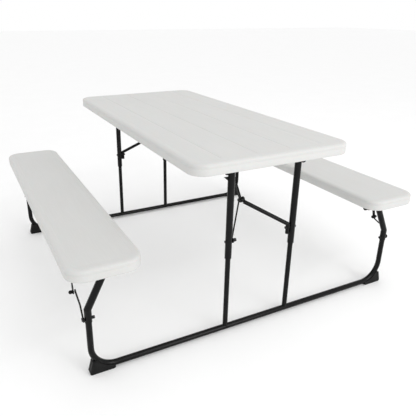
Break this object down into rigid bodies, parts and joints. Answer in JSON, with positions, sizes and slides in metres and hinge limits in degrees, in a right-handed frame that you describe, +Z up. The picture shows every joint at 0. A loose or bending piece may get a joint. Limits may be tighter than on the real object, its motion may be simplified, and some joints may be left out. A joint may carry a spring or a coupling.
{
  "type": "folding picnic table",
  "caption": "Folding picnic table: a plank-grooved moulded top and two bench seats carried by black bent-tube end frames that fold under the top.",
  "frame": {"origin": "on the floor, at the centre of the footprint", "axes": "+X across the benches, +Y along the tabletop from the near end to the far end, +Z up"},
  "size_m": [1.498, 1.372, 0.728],
  "materials": {
    "panel_plastic": "satin moulded, faint wood grain",
    "black_powder_coat": "semi-gloss powder coat",
    "black_plastic": "moulded",
    "hardware": "blackened steel"
  },
  "bodies": {
    "table": {"table_top": "panel_plastic", "near_left_hinge_bracket": "black_powder_coat", "near_right_hinge_bracket": "black_powder_coat", "far_left_hinge_bracket": "black_powder_coat", "far_right_hinge_bracket": "black_powder_coat", "hinge_bracket_screws": "hardware", "near_brace_bracket": "black_powder_coat", "far_brace_bracket": "black_powder_coat"},
    "near_frame": {"near_hinge_bar": "black_powder_coat", "near_left_upper_leg": "black_powder_coat", "near_right_upper_leg": "black_powder_coat", "near_left_leg_gusset": "black_powder_coat", "near_left_lower_leg": "black_powder_coat", "near_right_lower_leg": "black_powder_coat", "near_floor_tube": "black_powder_coat", "near_left_foot": "black_plastic", "near_right_foot": "black_plastic", "near_left_bench_arm": "black_powder_coat", "near_right_bench_arm": "black_powder_coat", "near_left_bench_bar": "black_powder_coat", "near_right_bench_bar": "black_powder_coat", "near_arm_bolts": "hardware", "near_brace_bolts": "hardware"},
    "far_frame": {"far_hinge_bar": "black_powder_coat", "far_left_upper_leg": "black_powder_coat", "far_right_upper_leg": "black_powder_coat", "far_left_lower_leg": "black_powder_coat", "far_right_lower_leg": "black_powder_coat", "far_floor_tube": "black_powder_coat", "far_left_foot": "black_plastic", "far_right_foot": "black_plastic", "far_left_bench_arm": "black_powder_coat", "far_right_bench_arm": "black_powder_coat", "far_left_bench_bar": "black_powder_coat", "far_right_bench_bar": "black_powder_coat", "far_arm_bolts": "hardware", "far_brace_bolts": "hardware"},
    "left_bench": {"left_bench_top": "panel_plastic", "left_bench_hinge_clips": "black_powder_coat", "left_bench_rest": "black_plastic", "left_stay_bracket": "black_powder_coat"},
    "right_bench": {"right_bench_top": "panel_plastic", "right_bench_hinge_clips": "black_powder_coat", "right_bench_rest": "black_plastic", "right_stay_bracket": "black_powder_coat"},
    "near_brace_link": {"near_brace_tube": "black_powder_coat", "near_brace_wire": "black_powder_coat"},
    "near_brace_strut": {"near_brace_bar": "black_powder_coat", "near_brace_knob": "hardware"},
    "far_brace_link": {"far_brace_tube": "black_powder_coat", "far_brace_wire": "black_powder_coat"},
    "far_brace_strut": {"far_brace_bar": "black_powder_coat", "far_brace_knob": "hardware"},
    "left_stay_link": {"left_stay_rod": "black_powder_coat"},
    "left_stay_strut": {"left_stay_bar": "black_powder_coat", "left_stay_knob": "black_plastic"},
    "right_stay_link": {"right_stay_rod": "black_powder_coat"},
    "right_stay_strut": {"right_stay_bar": "black_powder_coat", "right_stay_knob": "black_plastic"}
  },
  "joints": [
    {"name": "frame_fold", "type": "hinge", "parent": "table", "child": "near_frame", "pos_m": [0, -0.608, 0.668], "axis": [1, 0, 0], "range_deg": [0, 86]},
    {"name": "far_frame_fold", "type": "hinge", "parent": "table", "child": "far_frame", "pos_m": [0, 0.608, 0.668], "axis": [-1, 0, 0], "range_deg": [0, 77.45]},
    {"name": "left_bench_hinge", "type": "hinge", "parent": "near_frame", "child": "left_bench", "pos_m": [-0.612, -0.608, 0.3965], "axis": [1, 0, 0], "range_deg": [-86.05, 0]},
    {"name": "right_bench_hinge", "type": "hinge", "parent": "near_frame", "child": "right_bench", "pos_m": [0.612, -0.608, 0.3965], "axis": [1, 0, 0], "range_deg": [-86.05, 0]},
    {"name": "near_brace_link_hinge", "type": "hinge", "parent": "near_frame", "child": "near_brace_link", "pos_m": [0.1238, -0.608, 0.392], "axis": [1, 0, 0], "range_deg": [-210.63, 0]},
    {"name": "near_brace_strut_hinge", "type": "hinge", "parent": "table", "child": "near_brace_strut", "pos_m": [-0.048, -0.409, 0.672], "axis": [1, 0, 0], "range_deg": [0, 74.96]},
    {"name": "far_brace_link_hinge", "type": "hinge", "parent": "far_frame", "child": "far_brace_link", "pos_m": [-0.1238, 0.608, 0.392], "axis": [-1, 0, 0], "range_deg": [-240.81, 0]},
    {"name": "far_brace_strut_hinge", "type": "hinge", "parent": "table", "child": "far_brace_strut", "pos_m": [0.048, 0.409, 0.672], "axis": [-1, 0, 0], "range_deg": [0, 43.45]},
    {"name": "left_stay_link_hinge", "type": "hinge", "parent": "near_frame", "child": "left_stay_link", "pos_m": [-0.697, -0.608, 0.228], "axis": [1, 0, 0], "range_deg": [-230.86, 0]},
    {"name": "left_stay_strut_hinge", "type": "hinge", "parent": "left_bench", "child": "left_stay_strut", "pos_m": [-0.7045, -0.496, 0.397], "axis": [1, 0, 0], "range_deg": [0, 24.84]},
    {"name": "right_stay_link_hinge", "type": "hinge", "parent": "near_frame", "child": "right_stay_link", "pos_m": [0.697, -0.608, 0.228], "axis": [1, 0, 0], "range_deg": [-230.86, 0]},
    {"name": "right_stay_strut_hinge", "type": "hinge", "parent": "right_bench", "child": "right_stay_strut", "pos_m": [0.7045, -0.496, 0.397], "axis": [1, 0, 0], "range_deg": [0, 24.84]}
  ],
  "couplings": [
    {"joint": "far_frame_fold", "follows": "frame_fold", "ratio": 0.9},
    {"joint": "left_bench_hinge", "follows": "frame_fold", "ratio": -1},
    {"joint": "right_bench_hinge", "follows": "frame_fold", "ratio": -1},
    {"joint": "near_brace_link_hinge", "follows": "frame_fold", "ratio": -2.4486},
    {"joint": "near_brace_strut_hinge", "follows": "frame_fold", "ratio": 0.8711},
    {"joint": "far_brace_link_hinge", "follows": "frame_fold", "ratio": -2.7995},
    {"joint": "far_brace_strut_hinge", "follows": "frame_fold", "ratio": 0.5047},
    {"joint": "left_stay_link_hinge", "follows": "frame_fold", "ratio": -2.6838},
    {"joint": "left_stay_strut_hinge", "follows": "frame_fold", "ratio": 0.2883},
    {"joint": "right_stay_link_hinge", "follows": "frame_fold", "ratio": -2.6838},
    {"joint": "right_stay_strut_hinge", "follows": "frame_fold", "ratio": 0.2883}
  ]
}
